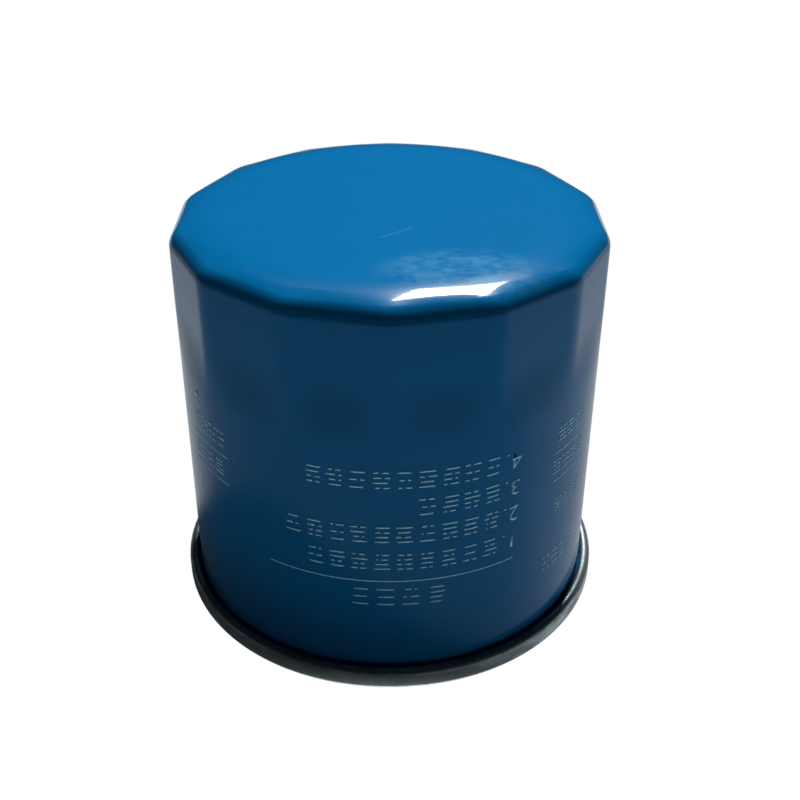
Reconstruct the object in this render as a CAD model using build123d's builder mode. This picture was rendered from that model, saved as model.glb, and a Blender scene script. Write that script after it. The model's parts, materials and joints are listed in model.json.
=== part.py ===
"""Spin-on oil filter: a drawn steel can seamed over a threaded base plate, with the element inside.

Millimetres, +Z up. The filter stands on its sealing gasket, thread downwards and crowned end up.
The origin is the centre of the gasket's sealing face, on the thread's axis.
"""

import math
import os

from build123d import *

# ---------------------------------------------------------------- driving dimensions

# Overall
total_height = 75.0  # sealing face to the top of the crown
can_od = 75.4  # plain body of the can

# Can
can_sheet = 0.5
flute_count = 14
flute_depth = 0.7  # how far a flat lies inside the plain body
flute_height = 16.5  # crown to the foot of the flutes
flute_runout = 2.6
shoulder_inset = 0.1  # of the run-out's top end inside the flats
ridge_radius = 8.0  # rounding between two flats
rim_radius = 4.0
crown_rise = 1.0

# Rolled seam and cover
cover_sheet = 0.7
seam_height = 4.0
seam_gap = 0.05  # between two layers of the seam
hook_gap = 0.3  # between the can's wall and the cover's hook
hook_end_gap = 0.5  # past the end of each hook
compound_depth = 0.4
rib_width = 2.8
cover_land = 1.0  # flat between the rib and the can's wall
lip_drop = 2.9  # of the groove's two walls below the base plate
bend_radius = 0.6  # of every folded sheet, at its mid-line

# Sealing gasket
gasket_height = 5.7
gasket_width = 4.9
gasket_proud = 1.0  # below the seam
gasket_round = 0.8  # of the sealing edges
gasket_top_round = 0.4
groove_gap = 0.1

# Base plate, M20 x 1.5
thread_minor = 18.376
plate_thickness = 3.0
neck_rise = 5.6
neck_wall = 3.6
thread_chamfer = 0.8
plate_chamfer = 0.6
inlet_count = 6
inlet_diameter = 7.5
plate_gap = 0.6  # to the can's wall
weld_count = 6
weld_diameter = 4.2

# Anti-drain-back valve
collar_width = 2.5
collar_height = 5.4
collar_gap = 0.1
flap_thickness = 1.1
lip_width = 2.0
lip_height = 1.6
lip_round = 0.4
lip_margin = 2.0  # from the inlet holes to the lip
flap_gap = 0.9  # from the flap's root to the end cap
flap_step = 0.2  # from the lip's top to the flap's

# Element
cap_sheet = 0.5
cap_hole_gap = 0.6
cap_rim_height = 3.6
cap_fit_gap = 0.1
potting_depth = 1.2
tube_sheet = 0.5
pleat_count = 54
pleat_fold = 4.6  # radial length of the solid fold at each pleat's tip
media_gap = 1.2  # tube to the pleats' inner tips
media_margin = 0.8  # pleats' outer tips to the end caps' rims
inlet_gap = 3.6  # end cap to the can's wall
tube_hole_diameter = 4.0
tube_hole_columns = 10
tube_hole_rows = 7
clip_sheet = 0.35
clip_length = 5.5
clip_gap = 0.1  # to the paper, on each side

# Bypass valve
bypass_port_diameter = 12.0
bypass_seal_width = 2.2
bypass_seal_height = 1.2
seal_overlap = 0.8  # of the seal inside the port's edge
poppet_thickness = 0.8
poppet_gap = 0.8  # to the cage
cage_sheet = 0.5
cage_depth = 11.2
cage_rail = 1.6  # solid height left above and below the windows
cage_windows = 4
cage_window_width = 8.0
stem_diameter = 3.0
stem_chamfer = 0.4
stem_gap = 0.1
stem_overrun = 1.0  # below the cage
bypass_wire = 1.0
bypass_coils = 4.0
bypass_spring_diameter = 11.0  # at the middle of the wire

# Support spring
spring_room = 12.8  # upper end cap to the inside of the crown
spring_wire = 2.0
spring_diameter = 22.0  # at the middle of the wire
spring_coils = 2.6
seat_sheet = 0.5
seat_rim = 2.4
spring_gap = 0.4  # to the seat's rim

# ---------------------------------------------------------------- worked-out places

can_r = can_od / 2
can_bore_r = can_r - can_sheet
flat_r = can_r - flute_depth
flute_foot = total_height - flute_height
crown_radius = (flat_r**2 + crown_rise**2) / (2 * crown_rise)
crown_centre = total_height - crown_radius

seam_bottom = gasket_proud
seam_top = seam_bottom + seam_height
hook_bottom = seam_bottom + cover_sheet + compound_depth
cover_hook_r = can_r + hook_gap  # inner face of the cover's hook
can_hook_r = cover_hook_r + cover_sheet + seam_gap  # inner face of the can's hook
seam_r = can_hook_r + can_sheet + seam_gap + cover_sheet

plate_bottom = gasket_height + cover_sheet
plate_top = plate_bottom + plate_thickness
plate_r = can_bore_r - plate_gap
thread_r = thread_minor / 2
neck_r = thread_r + neck_wall
neck_top = plate_top + neck_rise

chuck_r = can_bore_r - seam_gap  # outer face of the cover inside the can
rib_r = chuck_r - cover_sheet - cover_land  # outer face of the rib
groove_outer_r = rib_r - rib_width  # face of the rib towards the gasket
gasket_outer_r = groove_outer_r - groove_gap
gasket_inner_r = gasket_outer_r - gasket_width
groove_middle_r = (gasket_inner_r + gasket_outer_r) / 2
cover_lip_r = gasket_inner_r - groove_gap - cover_sheet  # inner edge of the cover
lip_bottom = plate_bottom - lip_drop
inlet_circle_r = (neck_r + cover_lip_r) / 2

collar_r = neck_r + collar_gap
collar_outer_r = collar_r + collar_width
collar_top = plate_top + collar_height
flap_lip_r = inlet_circle_r + inlet_diameter / 2 + lip_margin

cap_bottom = collar_top
cap_top = cap_bottom + cap_sheet
cap_hole_r = neck_r + cap_hole_gap
tube_r = cap_hole_r + cap_sheet + cap_fit_gap  # the cap's collar turns up inside the tube
tube_outer_r = tube_r + tube_sheet
cap_outer_r = can_bore_r - inlet_gap
media_outer_r = cap_outer_r - cap_sheet - media_margin
media_inner_r = tube_outer_r + media_gap
half_pleat = math.pi / pleat_count
outer_valley_r = media_inner_r + pleat_fold
inner_tip_r = media_outer_r - pleat_fold
pleat_depth = media_outer_r - outer_valley_r * math.cos(half_pleat)
pleat_slope = outer_valley_r * math.sin(half_pleat) / pleat_depth

upper_cap_top = total_height - can_sheet - spring_room
upper_cap_bottom = upper_cap_top - cap_sheet
media_bottom = cap_top + potting_depth
media_top = upper_cap_bottom - potting_depth

poppet_r = bypass_port_diameter / 2 + bypass_seal_width
seal_bottom = upper_cap_bottom - bypass_seal_height
poppet_bottom = seal_bottom - poppet_thickness
cage_bore_r = poppet_r + poppet_gap
cage_bottom = upper_cap_bottom - cage_depth
cage_floor = cage_bottom + cage_sheet
stem_r = stem_diameter / 2
stem_bottom = cage_bottom - stem_overrun

seat_top = upper_cap_top + seat_sheet
spring_outer_r = (spring_diameter + spring_wire) / 2
spring_clear_r = spring_diameter / 2 + spring_wire
spring_top = crown_centre + math.sqrt((crown_radius - can_sheet) ** 2 - spring_clear_r**2)

axis_plane = Plane.XZ  # sketches here are (radius, height)


# ---------------------------------------------------------------- shared shapes


def spun_sheet(points, thickness):
    """Ring of folded sheet whose mid-line runs through (radius, height) points, bent at its corners."""
    with BuildPart() as ring:
        with BuildSketch(axis_plane):
            with BuildLine() as midline:
                FilletPolyline(*points, radius=bend_radius)
            trace(midline.line, thickness)
        revolve(axis=Axis.Z)
    return ring.part


def ring_section(inner, outer, bottom, top):
    """Rectangular section of a ring, for a sketch on axis_plane."""
    with Locations(((inner + outer) / 2, (bottom + top) / 2)):
        Rectangle(outer - inner, top - bottom)


def fluted_cup(inset):
    """Solid form of the can, every face moved in by inset: plain body, fluted head, crowned end."""
    with BuildPart() as head:
        with BuildSketch(Plane.XY.offset(flute_foot)) as outline:
            RegularPolygon(flat_r - inset, flute_count, major_radius=False, rotation=-90)
            fillet(outline.vertices(), ridge_radius - inset)
        extrude(amount=flute_height + crown_rise)
        with Locations((0, 0, crown_centre)):
            Sphere(crown_radius - inset, mode=Mode.INTERSECT)
        fillet(head.faces().sort_by(Axis.Z)[-1].edges(), rim_radius - inset)
    with BuildPart() as cup:
        with BuildSketch(axis_plane):
            with BuildLine():
                foot = (can_r - inset, flute_foot)
                shoulder = (flat_r - inset - shoulder_inset, flute_foot + flute_runout)
                Polyline((0, flute_foot + flute_runout), (0, seam_top), (can_r - inset, seam_top), foot)
                Spline(foot, shoulder, tangents=[(0, 1), (-0.5, 1)])
                Line(shoulder, (0, flute_foot + flute_runout))
            make_face()
        revolve(axis=Axis.Z)
        add(head.part)
    return cup.part


def ground_coil(radius, wire, bottom, top, coils):
    """Compression spring whose two ends are ground flat at bottom and top."""
    pitch = (top - bottom) / coils
    with BuildPart() as coil:
        with BuildLine():
            path = Helix(pitch=pitch, height=top - bottom, radius=radius, center=(0, 0, bottom))
        with BuildSketch(Plane(origin=path @ 0, z_dir=path % 0)):
            Circle(wire / 2)
        sweep()
        with BuildSketch(Plane.XY.offset(bottom)):
            Circle(radius + wire)
        extrude(amount=top - bottom, mode=Mode.INTERSECT)
    return coil.part


def star(tip_r, valley_r):
    """Corners of a pleated outline that touches tip_r and valley_r in turn, with a tip on the -X side."""
    corners = []
    for i in range(2 * pleat_count):
        radius = tip_r if i % 2 == 0 else valley_r
        corners.append((-radius * math.cos(i * half_pleat), -radius * math.sin(i * half_pleat)))
    return corners


# ---------------------------------------------------------------- can and seam

can_form = fluted_cup(0)
can_hollow = fluted_cup(can_sheet)
can_half = can_sheet / 2
can_hook = spun_sheet(
    [
        (can_r - can_half, seam_top),
        (can_r - can_half, hook_bottom + can_half),
        (can_hook_r + can_half, hook_bottom + can_half),
        (can_hook_r + can_half, seam_top - cover_sheet - hook_end_gap),
    ],
    can_sheet,
)

with BuildPart() as can:
    add(can_form)
    add(can_hollow, mode=Mode.SUBTRACT)
    add(can_hook)
can.part.label = "can"

cover_half = cover_sheet / 2
land_z = plate_bottom - cover_half
web_z = seam_bottom + cover_half
curl_z = seam_top - cover_half
cover_ring = spun_sheet(
    [
        (cover_lip_r + cover_half, lip_bottom),
        (cover_lip_r + cover_half, land_z),
        (groove_outer_r + cover_half, land_z),
        (groove_outer_r + cover_half, lip_bottom + cover_half),
        (rib_r - cover_half, lip_bottom + cover_half),
        (rib_r - cover_half, land_z),
        (chuck_r - cover_half, land_z),
        (chuck_r - cover_half, web_z),
        (seam_r - cover_half, web_z),
        (seam_r - cover_half, curl_z),
        (cover_hook_r + cover_half, curl_z),
        (cover_hook_r + cover_half, hook_bottom + can_sheet + hook_end_gap),
    ],
    cover_sheet,
)

with BuildPart() as seam_cover:
    add(cover_ring)
    with BuildSketch(Plane.XY.offset(gasket_height)):
        with PolarLocations(groove_middle_r, weld_count):
            Circle(weld_diameter / 2)
    extrude(amount=cover_sheet, mode=Mode.SUBTRACT)
seam_cover.part.label = "seam_cover"

with BuildPart() as seam_compound:
    with BuildSketch(axis_plane):
        ring_section(can_r, can_hook_r, seam_bottom + cover_sheet, hook_bottom)
    revolve(axis=Axis.Z)
seam_compound.part.label = "seam_compound"

with BuildPart() as sealing_gasket:
    with BuildSketch(axis_plane) as gasket_section:
        ring_section(gasket_inner_r, gasket_outer_r, 0, gasket_height)
        fillet(gasket_section.vertices().group_by(Axis.Y)[0], gasket_round)
        fillet(gasket_section.vertices().group_by(Axis.Y)[-1], gasket_top_round)
    revolve(axis=Axis.Z)
sealing_gasket.part.label = "sealing_gasket"

# ---------------------------------------------------------------- base plate

with BuildPart() as base_plate:
    with BuildSketch(Plane.XY.offset(plate_bottom)):
        Circle(plate_r)
    extrude(amount=plate_thickness)
    chamfer(base_plate.edges().filter_by(GeomType.CIRCLE).sort_by(Axis.Z)[-1], plate_chamfer)
    with BuildSketch(Plane.XY.offset(plate_top)):
        Circle(neck_r)
    extrude(amount=neck_rise)
    chamfer(base_plate.edges().filter_by(GeomType.CIRCLE).sort_by(Axis.Z)[-1], plate_chamfer)
    with Locations((0, 0, plate_bottom)):
        Cylinder(
            thread_r,
            neck_top - plate_bottom,
            align=(Align.CENTER, Align.CENTER, Align.MIN),
            mode=Mode.SUBTRACT,
        )
    circles = base_plate.edges().filter_by(GeomType.CIRCLE)
    bore_edges = circles.filter_by(lambda e: abs(e.radius - thread_r) < 0.01)
    chamfer(bore_edges, thread_chamfer)
    with BuildSketch(Plane.XY.offset(plate_bottom)):
        with PolarLocations(inlet_circle_r, inlet_count, start_angle=180 / inlet_count):
            Circle(inlet_diameter / 2)
    extrude(amount=plate_thickness, mode=Mode.SUBTRACT)
base_plate.part.label = "base_plate"

with BuildPart() as spot_welds:
    with BuildSketch(Plane.XY.offset(gasket_height)):
        with PolarLocations(groove_middle_r, weld_count):
            Circle(weld_diameter / 2)
    extrude(amount=cover_sheet)
spot_welds.part.label = "spot_welds"

# ---------------------------------------------------------------- anti-drain-back valve

flap_root = collar_top - flap_gap  # top of the flap where it leaves the collar
flap_edge = plate_top + lip_height - flap_step  # top of the flap where it meets the lip
flap_inner_lip_r = flap_lip_r - lip_width / 2

with BuildPart() as drainback_collar:
    with BuildSketch(axis_plane):
        ring_section(collar_r, collar_outer_r, plate_top, collar_top)
    revolve(axis=Axis.Z)
drainback_collar.part.label = "drainback_collar"

with BuildPart() as drainback_flap:
    with BuildSketch(axis_plane):
        with BuildLine():
            Polyline(
                (collar_outer_r, flap_root),
                (collar_outer_r, flap_root - flap_thickness),
                (flap_inner_lip_r, flap_edge - flap_thickness),
                (flap_inner_lip_r, flap_edge),
                close=True,
            )
        make_face()
    revolve(axis=Axis.Z)
drainback_flap.part.label = "drainback_flap"

with BuildPart() as drainback_lip:
    with BuildSketch(axis_plane) as lip_section:
        ring_section(flap_inner_lip_r, flap_inner_lip_r + lip_width, plate_top, plate_top + lip_height)
        fillet(lip_section.vertices().group_by(Axis.X)[-1], lip_round)
    revolve(axis=Axis.Z)
drainback_lip.part.label = "drainback_lip"

# ---------------------------------------------------------------- element

cap_half = cap_sheet / 2
lower_end_cap = spun_sheet(
    [
        (cap_hole_r + cap_half, cap_bottom + cap_rim_height),
        (cap_hole_r + cap_half, cap_bottom + cap_half),
        (cap_outer_r - cap_half, cap_bottom + cap_half),
        (cap_outer_r - cap_half, cap_bottom + cap_rim_height),
    ],
    cap_sheet,
)
lower_end_cap.label = "lower_end_cap"

with BuildPart() as lower_potting:
    with BuildSketch(axis_plane):
        ring_section(tube_outer_r, cap_outer_r - cap_sheet - bend_radius, cap_top, media_bottom)
    revolve(axis=Axis.Z)
lower_potting.part.label = "lower_potting"

with BuildPart() as centre_tube:
    with BuildSketch(axis_plane):
        ring_section(tube_r, tube_outer_r, cap_top + bend_radius, upper_cap_bottom)
    revolve(axis=Axis.Z)
    row_pitch = (media_top - media_bottom) / tube_hole_rows
    for row in range(tube_hole_rows):
        turn = row % 2 * 180 / tube_hole_columns
        for column in range(tube_hole_columns):
            bearing = turn + column * 360 / tube_hole_columns
            across = Plane.XZ.rotated((0, 0, bearing)).offset(tube_r - tube_sheet)
            height = media_bottom + (row + 0.5) * row_pitch
            with BuildSketch(across):
                with Locations((0, height)):
                    Circle(tube_hole_diameter / 2)
            extrude(amount=3 * tube_sheet, mode=Mode.SUBTRACT)
centre_tube.part.label = "centre_tube"

with BuildPart() as filter_media:
    with BuildSketch(Plane.XY.offset(media_bottom)):
        with BuildLine():
            Polyline(*star(media_outer_r, outer_valley_r), close=True)
        make_face()
        with BuildLine():
            Polyline(*star(inner_tip_r, media_inner_r), close=True)
        make_face(mode=Mode.SUBTRACT)
    extrude(amount=media_top - media_bottom)
filter_media.part.label = "filter_media"

# The clip is a folded strip over the pleat that closes the paper ring, on the -X side.
clip_nose_x = -media_outer_r - clip_gap  # inside of the fold
clip_end_x = clip_nose_x + clip_length
clip_spread = clip_gap + clip_length * pleat_slope  # of each leg's inner face from the pleat's middle

with BuildPart() as media_seam_clip:
    with BuildSketch(Plane.XY.offset(media_bottom)):
        with BuildLine():
            Polyline(
                (clip_nose_x, clip_gap),
                (clip_end_x, clip_spread),
                (clip_end_x, clip_spread + clip_sheet),
                (clip_nose_x - clip_sheet, clip_gap + clip_sheet),
            )
            Line((clip_nose_x - clip_sheet, clip_gap + clip_sheet), (clip_nose_x - clip_sheet, 0))
            Line((clip_nose_x - clip_sheet, 0), (clip_nose_x, 0))
            Line((clip_nose_x, 0), (clip_nose_x, clip_gap))
        make_face()
        mirror(about=Plane.XZ)
    extrude(amount=media_top - media_bottom)
media_seam_clip.part.label = "media_seam_clip"

with BuildPart() as upper_potting:
    with BuildSketch(axis_plane):
        ring_section(tube_outer_r, cap_outer_r - cap_sheet - bend_radius, media_top, upper_cap_bottom)
    revolve(axis=Axis.Z)
upper_potting.part.label = "upper_potting"

upper_end_cap = spun_sheet(
    [
        (bypass_port_diameter / 2, upper_cap_bottom + cap_half),
        (cap_outer_r - cap_half, upper_cap_bottom + cap_half),
        (cap_outer_r - cap_half, upper_cap_top - cap_rim_height),
    ],
    cap_sheet,
)
upper_end_cap.label = "upper_end_cap"

# ---------------------------------------------------------------- bypass valve

cage_half = cage_sheet / 2
cage_cup = spun_sheet(
    [
        (tube_r - cap_fit_gap, upper_cap_bottom - cage_half),
        (cage_bore_r + cage_half, upper_cap_bottom - cage_half),
        (cage_bore_r + cage_half, cage_bottom + cage_half),
        (stem_r + stem_gap, cage_bottom + cage_half),
    ],
    cage_sheet,
)
window_height = cage_depth - 2 * cage_rail

with BuildPart() as bypass_cage:
    add(cage_cup)
    with BuildSketch(Plane.XY.offset(cage_bottom + cage_rail)):
        with PolarLocations(cage_bore_r, cage_windows):
            Rectangle(4 * cage_sheet, cage_window_width)
    extrude(amount=window_height, mode=Mode.SUBTRACT)
bypass_cage.part.label = "bypass_cage"

with BuildPart() as bypass_poppet:
    with BuildSketch(Plane.XY.offset(poppet_bottom)):
        Circle(poppet_r)
    extrude(amount=poppet_thickness)
    with BuildSketch(Plane.XY.offset(poppet_bottom)):
        Circle(stem_r)
    extrude(amount=stem_bottom - poppet_bottom)
    chamfer(bypass_poppet.edges().filter_by(GeomType.CIRCLE).sort_by(Axis.Z)[0], stem_chamfer)
bypass_poppet.part.label = "bypass_poppet"

with BuildPart() as bypass_seal:
    with BuildSketch(axis_plane):
        ring_section(poppet_r - bypass_seal_width - seal_overlap, poppet_r, seal_bottom, upper_cap_bottom)
    revolve(axis=Axis.Z)
bypass_seal.part.label = "bypass_seal"

bypass_coil_r = bypass_spring_diameter / 2
bypass_spring = ground_coil(bypass_coil_r, bypass_wire, cage_floor, poppet_bottom, bypass_coils)
bypass_spring.label = "bypass_spring"

# ---------------------------------------------------------------- support spring

seat_half = seat_sheet / 2
seat_rim_r = spring_outer_r + spring_gap + seat_half
spring_seat = spun_sheet(
    [
        (bypass_port_diameter / 2 + seat_sheet, upper_cap_top + seat_half),
        (seat_rim_r, upper_cap_top + seat_half),
        (seat_rim_r, upper_cap_top + seat_rim),
    ],
    seat_sheet,
)
spring_seat.label = "spring_seat"

support_spring = ground_coil(spring_diameter / 2, spring_wire, seat_top, spring_top, spring_coils)
support_spring.label = "support_spring"

# ---------------------------------------------------------------- export

pieces = [
    can.part,
    seam_cover.part,
    seam_compound.part,
    sealing_gasket.part,
    base_plate.part,
    spot_welds.part,
    drainback_collar.part,
    drainback_flap.part,
    drainback_lip.part,
    lower_end_cap,
    lower_potting.part,
    centre_tube.part,
    filter_media.part,
    media_seam_clip.part,
    upper_potting.part,
    upper_end_cap,
    bypass_cage.part,
    bypass_poppet.part,
    bypass_seal.part,
    bypass_spring,
    spring_seat,
    support_spring,
]

os.makedirs("parts", exist_ok=True)
for piece in pieces:
    export_step(piece, f"parts/{piece.label}.step")
    box = piece.bounding_box()
    solids = len(piece.solids())
    heights = f"z {box.min.Z:6.2f} to {box.max.Z:6.2f}"
    print(f"{piece.label:18s} solids {solids}  volume {piece.volume:9.1f}  {heights}")
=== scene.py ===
# %% [markdown]
# # A spin-on oil filter
# The real thing is a thin steel can, drawn, fluted and painted, whose open end is rolled over a stamped
# cover. Behind the cover sit a threaded base plate, a rubber check valve and a pleated paper element held
# by a spring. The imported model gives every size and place, so this script only adds finer shapes,
# finishes and light around it.

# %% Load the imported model
import json
import math
import random

import bmesh
import bpy
from mathutils import Matrix, Vector


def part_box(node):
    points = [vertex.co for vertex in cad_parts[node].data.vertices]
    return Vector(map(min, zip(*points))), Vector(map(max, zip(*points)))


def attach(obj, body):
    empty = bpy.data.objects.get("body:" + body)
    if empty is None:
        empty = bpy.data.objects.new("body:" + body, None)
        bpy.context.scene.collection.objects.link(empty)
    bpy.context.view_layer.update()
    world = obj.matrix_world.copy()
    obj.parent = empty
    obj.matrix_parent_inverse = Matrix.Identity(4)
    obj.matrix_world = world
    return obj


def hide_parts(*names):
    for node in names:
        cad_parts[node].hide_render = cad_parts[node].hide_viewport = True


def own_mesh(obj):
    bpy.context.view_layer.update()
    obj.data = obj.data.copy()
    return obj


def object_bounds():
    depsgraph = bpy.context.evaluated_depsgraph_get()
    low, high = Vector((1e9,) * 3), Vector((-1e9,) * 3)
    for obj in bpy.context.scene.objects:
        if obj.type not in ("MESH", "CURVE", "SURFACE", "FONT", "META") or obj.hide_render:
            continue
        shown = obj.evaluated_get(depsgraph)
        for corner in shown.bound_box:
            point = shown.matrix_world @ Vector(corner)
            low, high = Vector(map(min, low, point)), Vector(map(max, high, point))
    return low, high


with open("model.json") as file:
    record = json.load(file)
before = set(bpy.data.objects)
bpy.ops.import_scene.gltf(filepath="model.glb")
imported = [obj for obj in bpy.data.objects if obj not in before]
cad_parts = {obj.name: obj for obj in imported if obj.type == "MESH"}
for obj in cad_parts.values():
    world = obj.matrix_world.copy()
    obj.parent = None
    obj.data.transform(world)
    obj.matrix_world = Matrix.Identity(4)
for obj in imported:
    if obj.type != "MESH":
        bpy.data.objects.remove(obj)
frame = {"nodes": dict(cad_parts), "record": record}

MM = 0.001
cad_low, cad_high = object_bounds()
print("CAD box in mm:", [round(c / MM, 2) for c in (*cad_low, *cad_high)])


# %% [markdown]
# ## Sizes come from the model
# A box gives the ends of a node, but a can's plain body is slimmer than its seam. So small helpers
# measure how far a node reaches from the axis between two heights, and how high it stands beyond a
# radius. The finer shapes are drawn from what they return.

# %% Rulers for the model's nodes
def reach(node, low, high, inner=False):
    """Greatest distance from the axis of a node's points between two heights, or the least one."""
    points = [v.co for v in frame["nodes"][node].data.vertices]
    radii = [math.hypot(p.x, p.y) for p in points if low <= p.z <= high]
    return min(radii) if inner else max(radii)


def ends(node):
    """Lowest and highest height of a node."""
    low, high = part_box(node)
    return low.z, high.z


def crest(node, radius):
    """Greatest height of a node's points that lie beyond a radius."""
    points = [v.co for v in frame["nodes"][node].data.vertices]
    return max(p.z for p in points if math.hypot(p.x, p.y) > radius)


can_bottom, can_top = ends("can")
BODY_TOP = 17.5 * MM
BODY_SLICE = 1.1 * MM
FLAT_DEPTH = 0.7 * MM
body_r = reach("can", can_top - BODY_TOP, can_top - BODY_TOP + BODY_SLICE)
flat_r = body_r - FLAT_DEPTH
sheet = 0.5 * MM
print("body radius", round(body_r / MM, 2), "mm, can's sheet", round(sheet / MM, 2), "mm")


# %% [markdown]
# ## Camera
# The filter is seen from a little above, close enough that its far end looks larger than its near one.
# The camera aims at the middle of the painted can. A small shift moves the picture the last few
# millimetres, which keeps the upright edges as they are, where turning the camera would lean them.

# %% Camera
CAMERA_ELEVATION = math.radians(31.0)
CAMERA_DISTANCE = 217.8 * MM
aim = Vector((0.0, 0.0, (can_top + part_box("seam_cover")[0].z) / 2))
toward_camera = Vector((0.0, -math.cos(CAMERA_ELEVATION), math.sin(CAMERA_ELEVATION)))

camera_data = bpy.data.cameras.new("camera")
camera_data.lens = 52.2
camera_data.shift_x = 0.0128
camera_data.shift_y = -0.0124
camera_data.clip_start = 10 * MM
camera = bpy.data.objects.new("camera", camera_data)
camera.location = aim + toward_camera * CAMERA_DISTANCE
camera.rotation_euler = toward_camera.to_track_quat("Z", "Y").to_euler()
bpy.context.scene.collection.objects.link(camera)
bpy.context.scene.camera = camera
bpy.context.scene.view_settings.view_transform = "Standard"
print("camera", [round(c, 4) for c in camera.location])


# %% [markdown]
# ## Writing a finish as arithmetic
# A material is a graph of nodes, and drawing it by hand hides the idea behind it. Here a socket is
# wrapped in a small class whose operators add Math nodes, so a mask can be written as `1 - dust * 0.4`.
# Any other node comes from one method, which takes the node's type, its settings and the values or links
# of its sockets.

# %% A socket that can be used in sums
class Value:
    """One output of a node, with the arithmetic operators that add Math nodes to its material."""

    def __init__(self, finish, socket):
        self.finish = finish
        self.socket = socket

    def maths(self, operation, first, second=0.0):
        return self.finish.node("Math", {"operation": operation}, {0: first, 1: second})

    def __add__(self, other):
        return self.maths("ADD", self, other)

    def __radd__(self, other):
        return self.maths("ADD", other, self)

    def __sub__(self, other):
        return self.maths("SUBTRACT", self, other)

    def __rsub__(self, other):
        return self.maths("SUBTRACT", other, self)

    def __mul__(self, other):
        return self.maths("MULTIPLY", self, other)

    def __rmul__(self, other):
        return self.maths("MULTIPLY", other, self)

    def __truediv__(self, other):
        return self.maths("DIVIDE", self, other)


# %% A finish: one material and the nodes that paint it
class Finish:
    """A material's node graph, built from the surface outwards."""

    def __init__(self, name):
        self.material = bpy.data.materials.new(name)
        self.material.use_nodes = True
        self.nodes = self.material.node_tree.nodes
        self.links = self.material.node_tree.links
        self.nodes.clear()

    def node(self, kind, settings=None, inputs=None, output=0):
        """Add a node: its settings first, then its sockets, each with a number, a colour or a Value."""
        made = self.nodes.new("ShaderNode" + kind)
        for name, value in (settings or {}).items():
            if name == "stops":
                while len(made.color_ramp.elements) < len(value):
                    made.color_ramp.elements.new(0.5)
                for element, (place, colour) in zip(made.color_ramp.elements, value):
                    element.position = place
                    element.color = (*colour, 1.0) if len(colour) == 3 else colour
            else:
                setattr(made, name, value)
        for name, value in (inputs or {}).items():
            socket = made.inputs[name]
            if isinstance(value, Value):
                self.links.new(value.socket, socket)
            elif socket.type == "RGBA" and len(value) == 3:
                socket.default_value = (*value, 1.0)
            else:
                socket.default_value = value
        return Value(self, made.outputs[output]) if made.outputs else None

    def place(self, stretch=(1.0, 1.0, 1.0)):
        """The object's own coordinates, in metres, stretched along an axis if a pattern needs it."""
        here = self.node("TexCoord", output="Object")
        return self.node("Mapping", {"vector_type": "POINT"}, {"Vector": here, "Scale": stretch})

    def axes(self):
        """The height, and the distance from the filter's axis, of the point being shaded."""
        here = self.node("TexCoord", output="Object")
        x = self.node("SeparateXYZ", inputs={"Vector": here}, output="X")
        y = self.node("SeparateXYZ", inputs={"Vector": here}, output="Y")
        z = self.node("SeparateXYZ", inputs={"Vector": here}, output="Z")
        return x, y, z

    def noise(self, size, detail=4.0, roughness=0.5, stretch=(1.0, 1.0, 1.0), seed=0.0):
        """Cloudy noise from 0 to 1, whose blotches are about size metres across."""
        where = self.place(stretch)
        inputs = {"Vector": where, "Scale": 1 / size, "Detail": detail, "Roughness": roughness, "W": seed}
        return self.node("TexNoise", {"noise_dimensions": "4D"}, inputs, "Fac")

    def ramp(self, value, low, high):
        """0 below low, 1 above high and a smooth rise between them."""
        inputs = {"Value": value, "From Min": low, "From Max": high}
        return self.node("MapRange", {"interpolation_type": "SMOOTHSTEP", "clamp": True}, inputs, "Result")

    def blend(self, factor, first, second):
        """A colour between two colours."""
        inputs = {0: factor, 6: first, 7: second}
        return self.node("Mix", {"data_type": "RGBA", "clamp_factor": True}, inputs, 2)

    def bump(self, height, depth, normal=None):
        """A normal bent by a height from 0 to 1 that stands for depth metres."""
        inputs = {"Height": height, "Distance": depth, "Strength": 1.0}
        if normal is not None:
            inputs["Normal"] = normal
        return self.node("Bump", None, inputs, "Normal")

    def finish(self, **sockets):
        """Close the graph with a Principled shader, whose sockets are named with underscores for spaces."""
        inputs = {name.replace("_", " "): value for name, value in sockets.items()}
        shader = self.node("BsdfPrincipled", None, inputs)
        self.node("OutputMaterial", None, {"Surface": shader})
        print("finish", self.material.name, "with", len(self.nodes), "nodes")
        return self.material


# %% [markdown]
# ## Table and light
# The filter stands on a plain white sheet in a dim room, under one small bright lamp behind it. The sheet
# is seen as plain white. What it throws back onto the filter is painted in its finish rather than lit by
# the lamp: a painted shadow close in front, where a real sheet is shaded, and painted light behind, up to
# an edge on the left. That makes the paint deep navy in front and pale at the two sides, and it stays the
# same when the lamp is moved to place the highlight.

# %% The table
def flat_sheet(name, size, height):
    """A square sheet, size metres across, lying at a height."""
    bm = bmesh.new()
    bmesh.ops.create_grid(bm, x_segments=1, y_segments=1, size=size / 2)
    bmesh.ops.translate(bm, vec=(0.0, 0.0, height), verts=bm.verts)
    mesh = bpy.data.meshes.new(name)
    bm.to_mesh(mesh)
    bm.free()
    made = bpy.data.objects.new(name, mesh)
    bpy.context.scene.collection.objects.link(made)
    return made


SHEET_WHITE = (0.93, 0.98, 1.0)
SHEET_DARK = 0.04
SHEET_FRONT = 0.31
SHEET_BRIGHT = 0.62
SHEET_NEAR = 0.5
SHEET_FAR = 0.9
SHADE_AT = (-27 * MM, -26 * MM)
SHADE_REACH = (50 * MM, 42 * MM)
BRIGHT_FROM = -35 * MM
BRIGHT_LEAN = 0.35
EDGE_AT = (-101 * MM, 7 * MM)
EDGE_ACROSS = (0.78, 0.63)


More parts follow.
